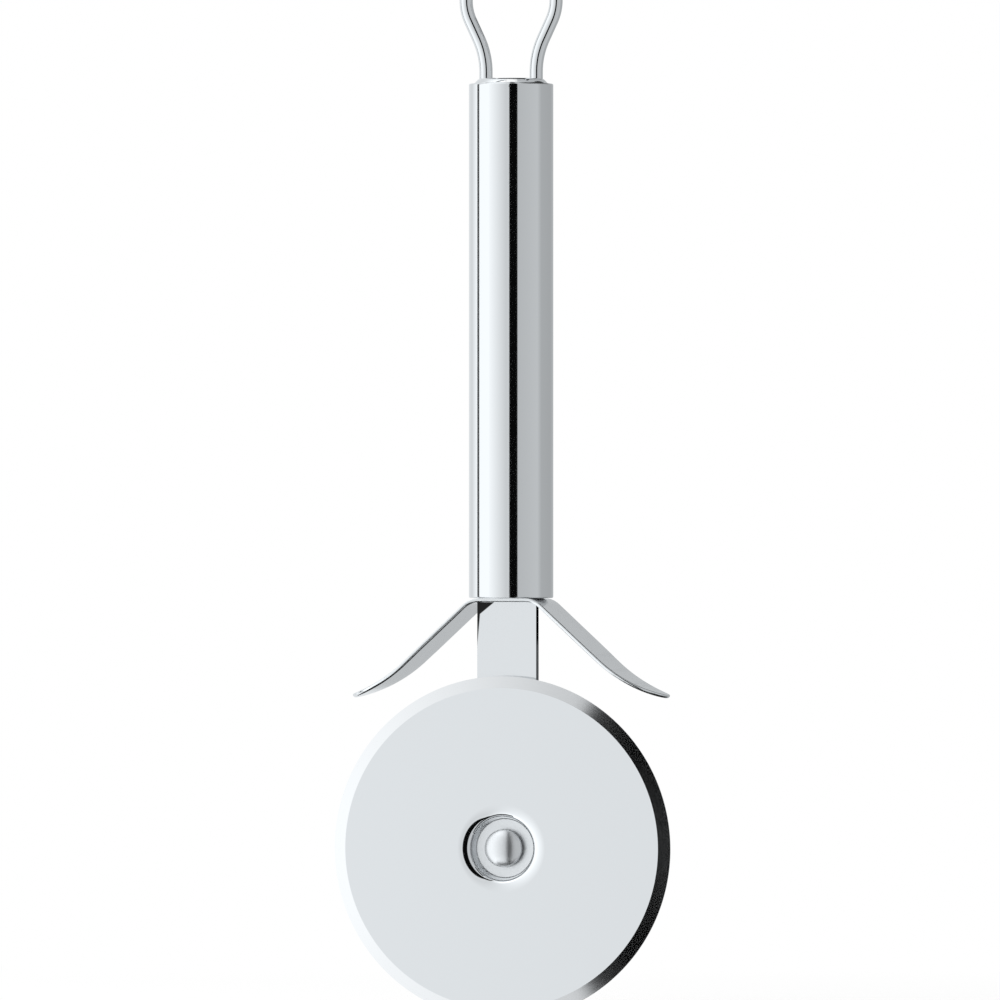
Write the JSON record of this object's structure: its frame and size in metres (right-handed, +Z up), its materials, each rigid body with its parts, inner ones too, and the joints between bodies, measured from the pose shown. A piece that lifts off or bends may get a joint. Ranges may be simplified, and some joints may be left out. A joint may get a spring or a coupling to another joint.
{
  "type": "pizza cutter wheel",
  "caption": "Stainless steel pizza cutter: tube handle with a wire hanging loop, winged finger guard, flat arm and a round bevelled blade that turns on a riveted axle.",
  "frame": {"origin": "the inside top of the hanging loop, where a hook bears", "axes": "+Z up the handle towards the loop, -Y towards the front, where the blade is, +X to the right seen from the front; the blade's axle lies along Y"},
  "size_m": [0.07, 0.0176, 0.2124],
  "materials": {
    "polished_steel": "mirror polished stainless steel",
    "guard_steel": "fine satin stainless steel",
    "arm_steel": "polished stainless steel",
    "blade_steel": "polished hardened stainless steel with a ground bevel",
    "rivet_steel": "satin stainless steel",
    "washer_steel": "stamped stainless steel",
    "bush_steel": "turned stainless steel",
    "core_steel": "turned steel, hidden inside"
  },
  "bodies": {
    "handle": {"hanging_loop": "polished_steel", "top_end_cap": "polished_steel", "handle_tube": "polished_steel", "finger_guard": "guard_steel", "blade_arm": "arm_steel", "axle_rivet": "rivet_steel", "front_washer": "washer_steel", "rear_washer": "washer_steel", "bearing_bush": "bush_steel", "bottom_end_plug": "core_steel", "tang_pin": "core_steel"},
    "wheel": {"cutting_wheel": "blade_steel"}
  },
  "joints": [
    {"name": "wheel_spin", "type": "hinge", "parent": "handle", "child": "wheel", "pos_m": [0, -0.00486, -0.1747], "axis": [0, 1, 0], "continuous": true}
  ]
}
